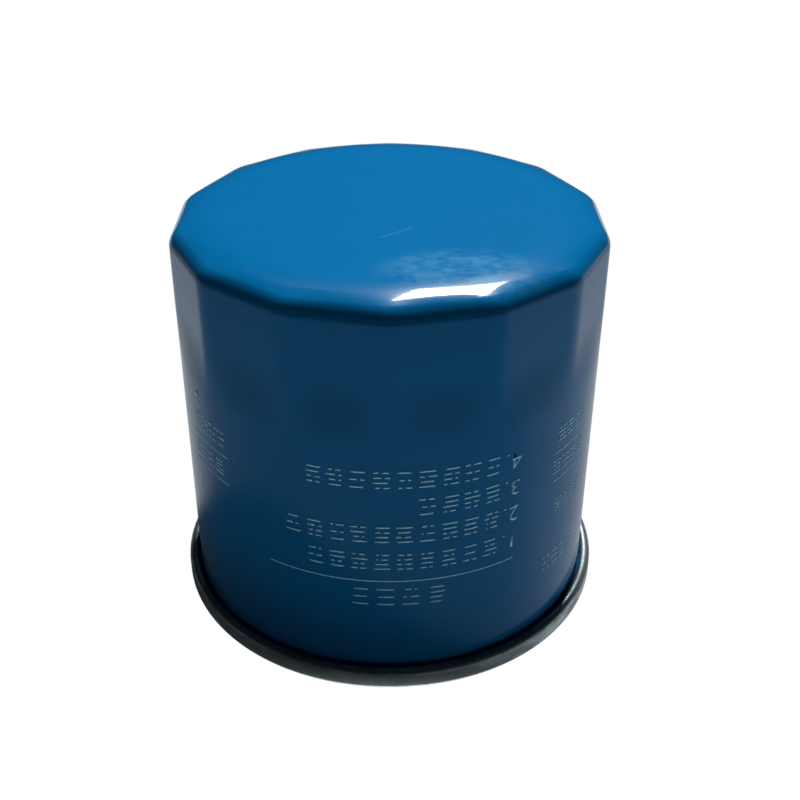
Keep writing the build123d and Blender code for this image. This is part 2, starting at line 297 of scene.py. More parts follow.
def table_finish():
    """White to look at. What it throws into the filter is painted light and shade: darkest close in front,
    a painted shadow, and brightest behind.
    """
    f = Finish("table_white")
    x, y, _ = f.axes()
    near = 1 - f.ramp(x * x + y * y, SHEET_NEAR**2, SHEET_FAR**2)
    # A painted shadow of the filter: a dark ellipse on the sheet close in front and to the left.
    shade_x = (x - SHADE_AT[0]) / SHADE_REACH[0]
    shade_y = (y - SHADE_AT[1]) / SHADE_REACH[1]
    clear_of_shade = f.ramp(shade_x * shade_x + shade_y * shade_y, 0.75, 1.3)
    # Painted light: the sheet behind, up to an edge on the left, glows brighter as if lit by the lamp.
    behind = f.ramp(y + x * BRIGHT_LEAN, BRIGHT_FROM, 0.0)
    past_edge = (x - EDGE_AT[0]) * EDGE_ACROSS[0] + (y - EDGE_AT[1]) * EDGE_ACROSS[1]
    inside_edge = f.ramp(past_edge, -2 * MM, 4 * MM)
    level = SHEET_FRONT + behind * inside_edge * (SHEET_BRIGHT - SHEET_FRONT)
    level = SHEET_DARK + level * clear_of_shade * near
    # The sheet glows with this painted light and shade for every ray but the camera's.
    thrown_colour = f.blend(level, (0.0, 0.0, 0.0), SHEET_WHITE)
    thrown = f.node("Emission", None, {"Color": thrown_colour, "Strength": 1.0})
    seen = f.node("Emission", None, {"Color": (1.0, 1.0, 1.0), "Strength": 1.0})
    looking = f.node("LightPath", output="Is Camera Ray")
    top_side = f.node("MixShader", None, {0: looking, 1: thrown, 2: seen})
    from_below = f.node("NewGeometry", output="Backfacing")
    clear = f.node("BsdfTransparent")
    whole = f.node("MixShader", None, {0: from_below, 1: top_side, 2: clear})
    f.node("OutputMaterial", None, {"Surface": whole})
    f.material.cycles.emission_sampling = "NONE"
    return f.material


table = flat_sheet("table", 6.0, cad_low.z)
table.data.materials.append(table_finish())
table.visible_shadow = False
print("table across", table.dimensions.x, "m")

# %% The room
world = bpy.data.worlds.new("room")
world.use_nodes = True
room = world.node_tree
room.nodes.clear()
room_out = room.nodes.new("ShaderNodeOutputWorld")
room_mix = room.nodes.new("ShaderNodeMixShader")
room_dim = room.nodes.new("ShaderNodeBackground")
room_white = room.nodes.new("ShaderNodeBackground")
room_path = room.nodes.new("ShaderNodeLightPath")
room_dim.inputs["Color"].default_value = (0.8, 0.9, 1.0, 1.0)
room_dim.inputs["Strength"].default_value = 0.012
room_white.inputs["Color"].default_value = (1.0, 1.0, 1.0, 1.0)
room.links.new(room_path.outputs["Is Camera Ray"], room_mix.inputs[0])
room.links.new(room_dim.outputs[0], room_mix.inputs[1])
room.links.new(room_white.outputs[0], room_mix.inputs[2])
room.links.new(room_mix.outputs[0], room_out.inputs["Surface"])
bpy.context.scene.world = world
print("room lit at", room_dim.inputs["Strength"].default_value)


# %% Lamps
def lamp(name, direction, distance, size, size_y, power):
    """A rectangular lamp that hangs at a distance from the crown and faces it."""
    data = bpy.data.lights.new(name, "AREA")
    data.shape = "RECTANGLE"
    data.size = size
    data.size_y = size_y
    data.energy = power
    made = bpy.data.objects.new(name, data)
    towards = Vector(direction).normalized()
    made.location = Vector((0.0, 0.0, can_top)) + towards * distance
    made.rotation_euler = towards.to_track_quat("Z", "Y").to_euler()
    made.visible_camera = False
    bpy.context.scene.collection.objects.link(made)
    return made


lamp("key_lamp", (0.147, 0.577, 0.803), distance=0.75, size=0.17, size_y=0.17, power=8.2)
under = lamp("under_lamp", (0.0, 0.0, -1.0), distance=0.6, size=0.5, size_y=0.5, power=0.7)
under.data.spread = math.radians(40)


# %% The glow round the lamp
GLOW = 0.5
GLOW_COLOUR = (0.85, 0.95, 1.0)


def glow_panel(distance, low, high, left, right):
    """A tall panel behind the filter, seen only in its gloss, that brightens towards the lamp."""
    bm = bmesh.new()
    bmesh.ops.create_grid(bm, x_segments=1, y_segments=1, size=0.5)
    place = Matrix.Translation(((left + right) / 2, distance, (low + high) / 2))
    upright = Matrix.Rotation(math.pi / 2, 4, "X") @ Matrix.Diagonal((right - left, high - low, 1.0, 1.0))
    bmesh.ops.transform(bm, matrix=place @ upright, verts=bm.verts)
    mesh = bpy.data.meshes.new("glow_panel")
    bm.to_mesh(mesh)
    bm.free()
    made = bpy.data.objects.new("glow_panel", mesh)
    bpy.context.scene.collection.objects.link(made)
    f = Finish("glow")
    x, _, z = f.axes()
    rise = f.ramp(z, low, high)
    side = f.ramp(x, left, left + 0.25) * (1 - f.ramp(x, right - 0.35, right))
    colour = f.blend(rise * rise * side, (0.0, 0.0, 0.0), GLOW_COLOUR)
    shining = f.node("Emission", None, {"Color": colour, "Strength": GLOW})
    f.node("OutputMaterial", None, {"Surface": shining})
    f.material.cycles.emission_sampling = "FRONT_BACK"
    mesh.materials.append(f.material)
    made.visible_camera = False
    made.visible_diffuse = False
    made.visible_shadow = False
    return made


glow = glow_panel(distance=0.8, low=0.56, high=1.05, left=-0.45, right=0.75)
print("glow panel from", [round(c, 2) for c in glow.bound_box[0]], "m")

# %% [markdown]
# ## Turned pieces
# Nearly every piece of a filter is round: spun, rolled, moulded or drawn about one axis. So each one
# starts as a wire of a few corners, a vertex bevel rounds the corners, and a spin sweeps the wire round
# the axis. A wire with two open ends is the middle of a metal sheet, and a Solidify modifier gives it the
# sheet's thickness.

# %% A wire with rounded corners
def round_corner(bm, vertex, radius, segments):
    """Bend a wire round an arc at one vertex. The bevel starts where such an arc touches the wire."""
    ends_of_bend = [edge.other_vert(vertex).co - vertex.co for edge in vertex.link_edges]
    turn_angle = math.pi - ends_of_bend[0].angle(ends_of_bend[1])
    bmesh.ops.bevel(
        bm,
        geom=[vertex],
        offset=radius * math.tan(turn_angle / 2),
        offset_type="OFFSET",
        segments=segments,
        profile=0.5,
        affect="VERTICES",
        material=-1,
    )


def wire(corners, closed=False, segments=6):
    """A wire in the XZ plane through (radius, height) corners. A third number is a corner's bend radius."""
    bm = bmesh.new()
    points = [bm.verts.new((corner[0], 0.0, corner[1])) for corner in corners]
    for first, second in zip(points, points[1:]):
        bm.edges.new((first, second))
    if closed:
        bm.edges.new((points[-1], points[0]))
    for point, corner in zip(points, corners):
        if len(corner) > 2:
            round_corner(bm, point, corner[2], segments)
    return bm


def divide(bm, low, high, cuts, across=False):
    """Cut the wire's edges that lie between two heights, or between two radii, into equal lengths."""
    inside = []
    for edge in bm.edges:
        places = [v.co.x if across else v.co.z for v in edge.verts]
        if min(places) > low - 1e-6 and max(places) < high + 1e-6:
            inside.append(edge)
    bmesh.ops.subdivide_edges(bm, edges=inside, cuts=cuts)


# %% A full turn, and a finished piece
def turn(bm, steps=192):
    """Spin a wire in the XZ plane once round the Z axis into a skin with no seam."""
    bmesh.ops.spin(
        bm,
        geom=bm.verts[:] + bm.edges[:],
        cent=(0.0, 0.0, 0.0),
        axis=(0.0, 0.0, 1.0),
        angle=math.tau,
        steps=steps,
        use_merge=True,
    )
    bmesh.ops.remove_doubles(bm, verts=bm.verts, dist=1e-7)
    bmesh.ops.recalc_face_normals(bm, faces=bm.faces)
    return bm


def show(mesh, name, finish):
    """Put a mesh in the scene with smooth shading that breaks at sharp edges, and give it its finish."""
    for polygon in mesh.polygons:
        polygon.use_smooth = True
    mesh.set_sharp_from_angle(angle=math.radians(40.0))
    mesh.materials.clear()
    mesh.materials.append(finish)
    made = bpy.data.objects.new(name, mesh)
    bpy.context.scene.collection.objects.link(made)
    return made


def piece(bm, name, finish, body, replaces=()):
    """Make a bmesh a piece that rides on a body, takes a slot and may stand for nodes of the model."""
    mesh = bpy.data.meshes.new(name)
    bm.to_mesh(mesh)
    bm.free()
    made = show(mesh, name, finish)
    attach(made, body)
    if replaces:
        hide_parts(*replaces)
    print("piece", name, "has", len(made.data.polygons), "faces and rides on", body)
    return made


def thicken(made, thickness):
    """Give a skin its sheet's thickness, half to each side, as its wire ran through the sheet's middle."""
    solid = made.modifiers.new("sheet", "SOLIDIFY")
    solid.thickness = thickness
    solid.offset = 0.0
    solid.use_even_offset = True
    return made


# %% [markdown]
# ## Blue paint
# The can has one coat of glossy blue enamel, sprayed on after drawing. The colour is nearly even, so the
# life comes from the gloss: a clear coat over a softer sheen, with a faint orange peel. The coat is
# thicker on the crown, where the spray gun points. There the front has been rubbed in handling, which
# leaves a cloudy patch, a few specks and one thin scratch. The patch is lightened both as rubbed paint and
# as a painted sheen, the haze round the lamp's highlight. Each of these is a mask from 0 to 1, and the
# masks only lighten the colour or dull the coat.

# %% The paint
PAINT_DARK = (0.0012, 0.160, 0.410)
PAINT_LIGHT = (0.0018, 0.178, 0.450)
# Pale blue of rubbed paint, also used as the painted sheen of the patch by the highlight.
PAINT_WORN_AND_SHEEN = (0.10, 0.36, 0.60)
WALL_GLOSS = 0.30
CROWN_GLOSS = 0.85
PATCH_AT = (11 * MM, -26 * MM)
PATCH_REACH = (15 * MM, 9 * MM)
SCRATCH_FROM = Vector((-2.2, -14.4)) * MM
SCRATCH_TO = Vector((4.5, -9.1)) * MM


def worn_and_sheen_patch(f, x, y):
    """A cloudy rubbed patch, lightened also as painted sheen, that fades out at the edge of an ellipse."""
    off_x = (x - PATCH_AT[0]) / PATCH_REACH[0]
    off_y = (y - PATCH_AT[1]) / PATCH_REACH[1]
    grazed = f.noise(3.5 * MM, 6.0, 0.75, (1.0, 1.6, 1.0), seed=11.0)
    return (1 - f.ramp(off_x * off_x + off_y * off_y, 0.1, 1.0)) * f.ramp(grazed, 0.36, 0.66)


def scratch_line(f, x, y):
    """A hair-thin line between two points that fades towards its ends."""
    way = (SCRATCH_TO - SCRATCH_FROM).normalized()
    along = x * way.x + y * way.y - SCRATCH_FROM.dot(way)
    across = y * way.x - x * way.y - (SCRATCH_FROM.y * way.x - SCRATCH_FROM.x * way.y)
    off_line = f.node("Math", {"operation": "ABSOLUTE"}, {0: across})
    length = (SCRATCH_TO - SCRATCH_FROM).length
    inside = f.ramp(along, 0.0, 1.6 * MM) * (1 - f.ramp(along, length - 1.9 * MM, length))
    return (1 - f.ramp(off_line, 0.03 * MM, 0.20 * MM)) * inside


def blue_paint():
    """Glossy blue enamel with orange peel, and on the crown a rubbed patch that is also painted sheen,
    specks and a scratch.
    """
    f = Finish("blue_paint")
    x, y, z = f.axes()
    crown = f.ramp(z, can_top - 4.0 * MM, can_top - 2.0 * MM)
    peel = f.noise(1.1 * MM, 2.0, 0.5)
    cloud = f.noise(9 * MM, 5.0, 0.6, seed=3.0)
    fine = f.noise(0.8 * MM, 5.0, 0.7, seed=7.0)
    specks = f.ramp(f.noise(0.4 * MM, 1.0, 0.4, seed=9.0), 0.76, 0.82) * crown
    # The rubbed patch is wear, and its lighter colour is also a painted sheen: the haze round the lamp's
    # highlight.
    worn_and_sheen = worn_and_sheen_patch(f, x, y) * crown
    scratch = scratch_line(f, x, y) * crown
    colour = f.blend(cloud, PAINT_DARK, PAINT_LIGHT)
    # Lightening by the specks and the scratch is wear; by the rubbed patch it is wear and painted sheen.
    colour = f.blend(specks * 0.2 + worn_and_sheen * 0.45 + scratch * 0.35, colour, PAINT_WORN_AND_SHEEN)
    return f.finish(
        Base_Color=colour,
        Roughness=0.20 + worn_and_sheen * 0.10 + fine * 0.06,
        Specular_IOR_Level=0.05,
        Coat_Weight=WALL_GLOSS + crown * (CROWN_GLOSS - WALL_GLOSS) - worn_and_sheen * 0.3,
        Coat_Roughness=0.07,
        Coat_IOR=1.36,
        Normal=f.bump(peel, 0.004 * MM),
    )


paint = blue_paint()


# %% [markdown]
# ## The can
# A press draws the can from one disc of steel, then pinches fourteen flats into its closed end for a
# wrench. So a plain round skin is spun first, from the hook inside the seam to the middle of the crown.
# Then a function that knows the fluted outline pulls the points in, fully at the head, and fading where
# the flats run out into the body. The crown is nearly flat in the middle and rolls over towards its rim,
# and the rim follows the flats.

# %% The head's outline
FLUTES = 14
RIDGE_RADIUS = 8.0 * MM
half_flute = math.pi / FLUTES


def head_radius(bearing):
    """Distance from the axis to the fluted outline. One rounded ridge points to -Y."""
    turned = (bearing + math.pi / 2) % (2 * half_flute)
    from_ridge = min(turned, 2 * half_flute - turned)
    ridge_centre = (flat_r - RIDGE_RADIUS) / math.cos(half_flute)
    side = RIDGE_RADIUS * math.sin(half_flute)
    front = ridge_centre + RIDGE_RADIUS * math.cos(half_flute)
    if from_ridge > math.atan2(side, front):
        return flat_r / math.cos(half_flute - from_ridge)
    across = ridge_centre * math.sin(from_ridge)
    return ridge_centre * math.cos(from_ridge) + math.sqrt(RIDGE_RADIUS**2 - across**2)


print("ridge at", round(head_radius(-math.pi / 2) / MM, 2), "mm, flat at", round(flat_r / MM, 2), "mm")

# %% The crown's rise
half_sheet = sheet / 2
wall_r = body_r - half_sheet
RIM_BEND = 3.0 * MM - half_sheet
RIM_SLOPE = math.radians(18.0)
CROWN_RADIUS = 5.0
ROLL_START = 28.5 * MM
rim_inner = wall_r - RIM_BEND * (1 - math.sin(RIM_SLOPE))
roll_slope = math.tan(RIM_SLOPE) - rim_inner / CROWN_RADIUS


def crown_height(radius):
    """Height of the middle of the crown's sheet: nearly flat, and rolling over towards the rim."""
    roll = max(0.0, (radius - ROLL_START) / (rim_inner - ROLL_START))
    rolled = roll_slope * (rim_inner - ROLL_START) * roll**2 / 2
    return can_top - half_sheet - radius**2 / (2 * CROWN_RADIUS) - rolled


def smooth_step(value):
    """0 below 0, 1 above 1 and a smooth rise between."""
    held = min(1.0, max(0.0, value))
    return held * held * (3 - 2 * held)


rim_drop = crown_height(0.0) - crown_height(rim_inner)
print("rim starts", round(rim_drop / MM, 2), "mm below the crown's middle")

# %% Spin the can
flute_foot = can_top - 25.0 * MM
flute_runout = 11.0 * MM
HOOK_LENGTH = 1.7 * MM
HOOK_BEND = 0.6 * MM
hook_r = reach("can", can_bottom, can_bottom + 2 * MM) - half_sheet
shoulder = can_top - 12 * MM
rim_corner = crown_height(rim_inner) - math.tan(RIM_SLOPE) * (wall_r - rim_inner)
rim_edge = rim_inner - 0.1 * MM
can_wire = wire(
    [
        (hook_r, can_bottom + HOOK_LENGTH),
        (hook_r, can_bottom + half_sheet, HOOK_BEND),
        (wall_r, can_bottom + half_sheet, HOOK_BEND),
        (wall_r, flute_foot),
        (wall_r, flute_foot + flute_runout),
        (wall_r, shoulder),
        (wall_r, rim_corner, RIM_BEND),
        (rim_edge, crown_height(rim_edge)),
        (0.0, crown_height(0.0)),
    ],
    segments=14,
)
divide(can_wire, flute_foot, flute_foot + flute_runout, 17)
divide(can_wire, flute_foot + flute_runout, shoulder, 2)
divide(can_wire, 0.0, rim_edge, 39, across=True)
can_skin = turn(can_wire, FLUTES * 24)
print("can's skin has", len(can_skin.verts), "points")

# %% Press the crown and the flats
FLAT_INSIDE = 0.90
FLAT_FULL = 0.98
for point in can_skin.verts:
    radius = math.hypot(point.co.x, point.co.y)
    if point.co.z < flute_foot or radius < 1e-6:
        continue
    if radius < rim_edge:
        point.co.z = crown_height(radius)
    depth = body_r - head_radius(math.atan2(point.co.y, point.co.x))
    share = smooth_step((point.co.z - flute_foot) / flute_runout)
    share *= smooth_step((radius / wall_r - FLAT_INSIDE) / (FLAT_FULL - FLAT_INSIDE))
    point.co.xy *= 1 - depth * share / radius
thicken(piece(can_skin, "can_shell", paint, "canister", ["can"]), sheet)

# %% [markdown]
# ## Metals
# Three steels show on a filter. The seam is bare and bright, but rolling, washing and handling leave it
# mottled. The base plate is pressed from dull sheet, and the thin caps and tubes inside are tinned. All
# are fully metallic: the base colour tints the reflection, and cloudy noise in the roughness makes the
# mottling.

# %% Bare, plated and tinned steel
def steel(name, dark, light, rough, grain=2.5 * MM, depth=0.008 * MM, stretch=(1.0, 1.0, 1.0)):
    """Steel sheet with cloudy stains, a roughness that follows them and a fine drawn grain."""
    f = Finish(name)
    cloud = f.noise(grain, 6.0, 0.62, stretch, seed=2.0)
    fine = f.noise(0.4 * MM, 3.0, 0.6, stretch, seed=5.0)
    stain = f.ramp(cloud, 0.36, 0.66)
    return f.finish(
        Base_Color=f.blend(stain, dark, light),
        Metallic=0.95 - (1 - stain) * 0.25,
        Roughness=rough + (1 - stain) * 0.18 + (fine - 0.5) * 0.12,
        Normal=f.bump(fine, depth),
    )


SEAM_STREAKS = (0.5, 0.5, 2.0)
seam_steel = steel("seam_steel", (0.15, 0.19, 0.20), (0.34, 0.42, 0.45), 0.30, 3 * MM, stretch=SEAM_STREAKS)
plate_steel = steel("plate_steel", (0.22, 0.22, 0.21), (0.46, 0.46, 0.44), 0.40, 5 * MM)
tinned_steel = steel("tinned_steel", (0.42, 0.42, 0.40), (0.66, 0.66, 0.63), 0.30, 4 * MM)
spring_steel = steel("spring_steel", (0.10, 0.09, 0.09), (0.24, 0.23, 0.22), 0.32, 1.5 * MM)

# %% [markdown]
# ## Rubber, resin and paper
# The gasket is moulded nitrile rubber, nearly black with a dull bloom. The flap of the check valve is
# red-brown silicone. The element's paper is pale and fibrous, and its ends are set in an off-white resin.

# %% Soft and cast finishes
def rubber(name, dark, light, rough, bloom=4 * MM):
    """Moulded rubber: nearly even in colour, with a cloudy bloom and a fine moulded skin."""
    f = Finish(name)
    cloud = f.noise(bloom, 4.0, 0.6, seed=4.0)
    skin = f.noise(0.25 * MM, 2.0, 0.5, seed=6.0)
    return f.finish(
        Base_Color=f.blend(f.ramp(cloud, 0.35, 0.75), dark, light),
        Roughness=rough + cloud * 0.2,
        Specular_IOR_Level=0.35,
        Normal=f.bump(skin, 0.01 * MM),
    )


def paper(name, pale, brown):
    """Resin-treated filter paper: long soft fibres along the sheet and a slight unevenness in colour."""
    f = Finish(name)
    fibres = f.noise(0.5 * MM, 6.0, 0.7, (1.0, 1.0, 0.25), seed=1.0)
    patch = f.noise(6 * MM, 3.0, 0.5, seed=8.0)
    tone = f.ramp(fibres * 0.6 + patch * 0.4, 0.3, 0.7)
    return f.finish(
        Base_Color=f.blend(tone, brown, pale),
        Roughness=0.78 + fibres * 0.15,
        Specular_IOR_Level=0.3,
        Normal=f.bump(fibres, 0.04 * MM),
    )


gasket_rubber = rubber("gasket_rubber", (0.008, 0.008, 0.009), (0.022, 0.022, 0.024), 0.45)
flap_rubber = rubber("flap_rubber", (0.16, 0.030, 0.012), (0.24, 0.055, 0.025), 0.42)
seal_rubber = rubber("seal_rubber", (0.010, 0.010, 0.012), (0.030, 0.030, 0.032), 0.40, 2 * MM)
resin = rubber("potting_resin", (0.50, 0.44, 0.30), (0.66, 0.60, 0.45), 0.30, 7 * MM)
compound = rubber("seam_compound", (0.03, 0.03, 0.03), (0.07, 0.07, 0.065), 0.60, 3 * MM)
media_paper = paper("media_paper", (0.74, 0.62, 0.42), (0.56, 0.44, 0.27))

# %% Give the model's own nodes their finishes
FINISHES = {
    "blue_paint": paint,
    "seam_steel": seam_steel,
    "compound": compound,
    "gasket_rubber": gasket_rubber,
    "plate_steel": plate_steel,
    "valve_rubber": flap_rubber,
    "cap_steel": tinned_steel,
    "potting": resin,
    "media_paper": media_paper,
    "seal_rubber": seal_rubber,
    "spring_steel": spring_steel,
}
for row in frame["record"]["subparts"]:
    slots = frame["nodes"][row["node"]].data.materials
    slots.clear()
    slots.append(FINISHES[row["material_slot"]])

# %% [markdown]
# ## The rolled seam
# The cover is one stamped ring. From inside, it stands as the lip behind the gasket, makes the gasket's
# groove, rises as a wall inside the can and rolls outwards over the can's own hook. Its middle is one
# long wire with ten bends, so it is drawn like that, and the sheet is given its thickness afterwards.

# %% Spin the cover
cover_low, cover_high = ends("seam_cover")
cover_sheet = 0.7 * MM
half_cover = cover_sheet / 2
seam_r = reach("seam_cover", cover_low, cover_high)
lip_r = reach("seam_cover", cover_low, cover_high, inner=True)
gasket_low, gasket_high = ends("sealing_gasket")
gasket_r = reach("sealing_gasket", gasket_low, gasket_high)
groove_r = gasket_r + 0.1 * MM
rib_r = groove_r + 2.8 * MM
chuck_r = body_r - sheet - 0.05 * MM
hook_in_r = body_r + 0.3 * MM
hook_end_z = cover_low + 2.1 * MM
land_z = gasket_high + half_cover
lip_z = 3.5 * MM
curl_z = crest("seam_cover", body_r + 0.5 * MM) - half_cover
BEND = 0.6 * MM
SEAM_BEND = 0.75 * MM
cover_wire = wire(
    [
        (lip_r + half_cover, lip_z),
        (lip_r + half_cover, land_z, BEND),
        (groove_r + half_cover, land_z, BEND),
        (groove_r + half_cover, lip_z + half_cover, BEND),
        (rib_r - half_cover, lip_z + half_cover, BEND),
        (rib_r - half_cover, land_z, BEND),
        (chuck_r - half_cover, land_z, BEND),
        (chuck_r - half_cover, cover_low + half_cover, BEND),
        (seam_r - half_cover, cover_low + half_cover, BEND),
        (seam_r - half_cover, curl_z, SEAM_BEND),
        (hook_in_r + half_cover, curl_z, BEND),
        (hook_in_r + half_cover, hook_end_z),
    ],
    segments=7,
)
divide(cover_wire, cover_low + 1.2 * MM, curl_z - SEAM_BEND + 0.01 * MM, 3)
cover_skin = turn(cover_wire, 256)
cover_shell = piece(cover_skin, "seam_ring", seam_steel, "canister", ["seam_cover"])
thicken(cover_shell, cover_sheet)

# %% Spin the gasket
gasket_in = reach("sealing_gasket", gasket_low, gasket_high, inner=True)
gasket_wire = wire(
    [
        (gasket_in, gasket_low, 0.9 * MM),
        (gasket_r, gasket_low, 0.9 * MM),
        (gasket_r, gasket_high, 0.4 * MM),
        (gasket_in, gasket_high, 0.4 * MM),
    ],
    closed=True,
)
piece(turn(gasket_wire, 256), "gasket", gasket_rubber, "canister", ["sealing_gasket"])

# %% [markdown]
# ## The base plate
# A thick pressed disc carries the engine's whole pull. Its raised neck is tapped with a pipe-like thread,
# and six holes let oil in round it. A thread is a short zigzag swept along a helix, and a spin does that
# too when it also steps along its axis. The ends of the helix are then cut off level with the two faces
# of the plate.

# %% Cut a thread
PITCH = 1.5 * MM
THREAD_DEPTH = 0.81 * MM
THREAD_STEPS = 72
plate_low, plate_high = ends("base_plate")
plate_r = reach("base_plate", plate_low, plate_high)
thread_r = reach("base_plate", plate_low, plate_high, inner=True)
mouth_r = thread_r + 0.85 * MM


def thread_skin(low, high):
    """The tapped wall of a hole between two heights, with a chamfer where it leaves each face."""
    start = low - 2 * PITCH
    turns = math.ceil((high - start) / PITCH) + 1
    bm = bmesh.new()
    zigzag = [(0.0, 0.0), (0.0, 0.125), (1.0, 0.5), (1.0, 0.625), (0.0, 1.0)]
    points = [bm.verts.new((thread_r + THREAD_DEPTH * d, 0.0, start + PITCH * h)) for d, h in zigzag]
    for first, second in zip(points, points[1:]):
        bm.edges.new((first, second))
    bmesh.ops.spin(
        bm,
        geom=bm.verts[:] + bm.edges[:],
        cent=(0.0, 0.0, 0.0),
        axis=(0.0, 0.0, 1.0),
        dvec=(0.0, 0.0, PITCH / THREAD_STEPS),
        angle=math.tau * turns,
        steps=THREAD_STEPS * turns,
    )
    bmesh.ops.remove_doubles(bm, verts=bm.verts, dist=1e-6)
    for height, outwards in ((low, (0, 0, -1)), (high, (0, 0, 1))):
        bmesh.ops.bisect_plane(
            bm,
            geom=bm.verts[:] + bm.edges[:] + bm.faces[:],
            plane_co=(0.0, 0.0, height),
            plane_no=outwards,
            clear_outer=True,
        )
    for v in bm.verts:
        radius = math.hypot(v.co.x, v.co.y)
        chamfer = mouth_r - min(v.co.z - low, high - v.co.z)
        v.co.xy *= max(1.0, chamfer / radius)
    return bm


# %% Spin the plate round the thread
def rims(bm, height):
    """The open edges of a skin at one height."""
    return [e for e in bm.edges if e.is_boundary and all(abs(v.co.z - height) < 1e-6 for v in e.verts)]


thread = thread_skin(plate_low, plate_high)
neck_r = thread_r + 3.6 * MM
plate_top = plate_low + 3.0 * MM
plate_wire = wire(
    [
        (mouth_r + 0.2 * MM, plate_low),
        (plate_r, plate_low, 0.5 * MM),
        (plate_r, plate_top, 0.8 * MM),
        (neck_r, plate_top, 0.6 * MM),
        (neck_r, plate_high, 0.7 * MM),
        (mouth_r + 0.2 * MM, plate_high),
    ]
)
plate = turn(plate_wire, THREAD_STEPS * 2)
thread_mesh = bpy.data.meshes.new("thread")
thread.to_mesh(thread_mesh)
thread.free()
plate.from_mesh(thread_mesh)
bpy.data.meshes.remove(thread_mesh)
for height in (plate_low, plate_high):
    bmesh.ops.bridge_loops(plate, edges=rims(plate, height))
bmesh.ops.recalc_face_normals(plate, faces=plate.faces)
print("plate has", len([e for e in plate.edges if not e.is_manifold]), "open edges")

# %% Punch six inlet holes
INLETS = 6
INLET_R = 3.75 * MM
inlet_circle = (neck_r + lip_r) / 2


def punches():
    """Six round bars that stand through the plate, as one mesh."""
    bm = bmesh.new()
    for i in range(INLETS):
        bearing = math.radians(30 + 360 / INLETS * i)
        middle = (plate_low + plate_top) / 2
        centre = Vector((inlet_circle * math.cos(bearing), inlet_circle * math.sin(bearing), middle))
        place = Matrix.Translation(centre)
        bmesh.ops.create_cone(
            bm, cap_ends=True, segments=48, radius1=INLET_R, radius2=INLET_R, depth=8 * MM, matrix=place
        )
    mesh = bpy.data.meshes.new("punches")
    bm.to_mesh(mesh)
    bm.free()
    return bpy.data.objects.new("punches", mesh)


tool = punches()
bpy.context.scene.collection.objects.link(tool)
blank_mesh = bpy.data.meshes.new("blank")
plate.to_mesh(blank_mesh)
plate.free()
blank = bpy.data.objects.new("blank", blank_mesh)
bpy.context.scene.collection.objects.link(blank)
punch = blank.modifiers.new("punch", "BOOLEAN")
punch.operation = "DIFFERENCE"
punch.object = tool
bpy.context.view_layer.update()
punched = bmesh.new()
punched.from_object(blank, bpy.context.evaluated_depsgraph_get())
for used in (blank, tool):
    bpy.data.objects.remove(used)
piece(punched, "threaded_plate", plate_steel, "canister", ["base_plate"])

# %% [markdown]
# ## Valves and springs
# The check valve is a thin rubber cone: its collar sits on the base plate and its lip lies over the inlet
# holes. When oil pushes the lip up, the cone flattens. The springs shorten in the same way when what they
# hold is pushed back. None of these is a rigid body, so each is a piece with a mesh of its own, riding on
# the body that carries it.

# %% The rubber cone
flap_low, flap_high = ends("drainback_flap")
flap_in = reach("drainback_flap", flap_low, flap_high, inner=True)
flap_out = reach("drainback_flap", flap_low, flap_high)
FLAP_SHEET = 1.1 * MM
flap_wire = wire(
    [
        (flap_in, flap_high - 0.2 * MM),
        (flap_in, flap_high - FLAP_SHEET - 0.2 * MM),
        (flap_in + 1.4 * MM, flap_high - FLAP_SHEET - 0.35 * MM, 1.0 * MM),
        (flap_out, flap_low, 0.2 * MM),
        (flap_out, flap_low + FLAP_SHEET, 0.2 * MM),
        (flap_in + 1.9 * MM, flap_high - 0.25 * MM, 1.5 * MM),
    ],
    closed=True,
)
flap = piece(turn(flap_wire, 160), "flap_cone", flap_rubber, "canister", ["drainback_flap"])
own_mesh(flap)


# %% Coil springs
def coil(low, high, radius, rod, turns, closed_turns=0.7):
    """A compression spring: a round rod swept along a helix, with its end turns closed and ground level."""
    pitch = (high - low) / turns
    bm = bmesh.new()
    start = Matrix.Translation((radius, 0.0, 0.0)) @ Matrix.Rotation(math.pi / 2, 4, "X")
    bmesh.ops.create_circle(bm, cap_ends=False, segments=14, radius=rod / 2, matrix=start)
    steps = round(44 * turns)
    bmesh.ops.spin(
        bm,
        geom=bm.verts[:] + bm.edges[:],
        cent=(0.0, 0.0, 0.0),
        axis=(0.0, 0.0, 1.0),
        dvec=(0.0, 0.0, pitch * turns / steps),
        angle=math.tau * turns,
        steps=steps,
    )
    bmesh.ops.remove_doubles(bm, verts=bm.verts, dist=1e-7)
    bmesh.ops.holes_fill(bm, edges=[e for e in bm.edges if e.is_boundary], sides=0)
    floor_z = low + rod * 0.36
    ceiling_z = high - rod * 0.36
    active = turns - 2 * closed_turns
    rise = (ceiling_z - floor_z - 2 * closed_turns * rod * 0.9) / active
    for v in bm.verts:
        part = math.atan2(v.co.y, v.co.x) / math.tau % 1.0
        at = part + round(v.co.z / pitch - part)
        across = v.co.z - pitch * at
        ends_done = min(at, closed_turns) + max(0.0, at - turns + closed_turns)
        height = floor_z + ends_done * rod * 0.9 + max(0.0, min(at - closed_turns, active)) * rise
        v.co.z = min(high, max(low, height + across))
    bmesh.ops.recalc_face_normals(bm, faces=bm.faces)
    return bm


